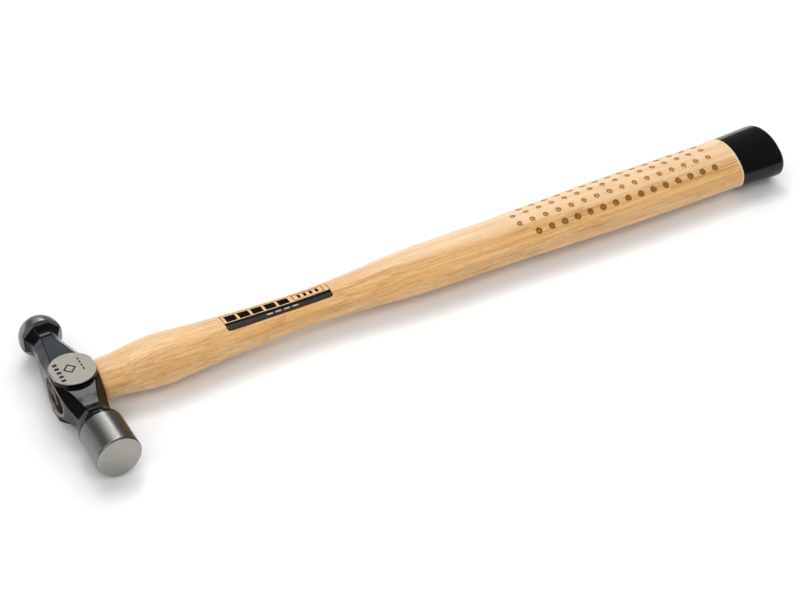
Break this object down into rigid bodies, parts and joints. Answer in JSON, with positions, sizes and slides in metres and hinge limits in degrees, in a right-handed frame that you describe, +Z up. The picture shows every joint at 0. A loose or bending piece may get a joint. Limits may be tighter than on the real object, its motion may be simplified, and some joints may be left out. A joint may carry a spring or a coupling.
{
  "type": "ball peen hammer",
  "caption": "Light ball peen hammer: octagonal forged head with a flat round poll and a ball, wedged on a waisted ash handle with a black dipped end.",
  "frame": {"origin": "middle of the overall length and of the head's length, on the surface the lower cheek rests on", "axes": "+X along the handle towards the butt, +Y along the head towards the ball, +Z up through the two ground cheeks"},
  "size_m": [0.3034, 0.0792, 0.0184],
  "materials": {
    "forged_steel": "forged steel under glossy black lacquer; cheeks, eye faces, poll and ball ground bright",
    "varnished_ash": "clear varnish over fine straight grain, with burned dots on the grip",
    "wedge_wood": "end grain, bare",
    "wedge_steel": "plain steel",
    "dip_coat": "glossy black dipped coating",
    "label_print": "thin black printed band with plain pale bars"
  },
  "bodies": {
    "root": {"head": "forged_steel", "handle": "varnished_ash", "wooden_wedge": "wedge_wood", "steel_wedge": "wedge_steel", "butt_dip": "dip_coat", "label_band": "label_print"}
  },
  "joints": []
}
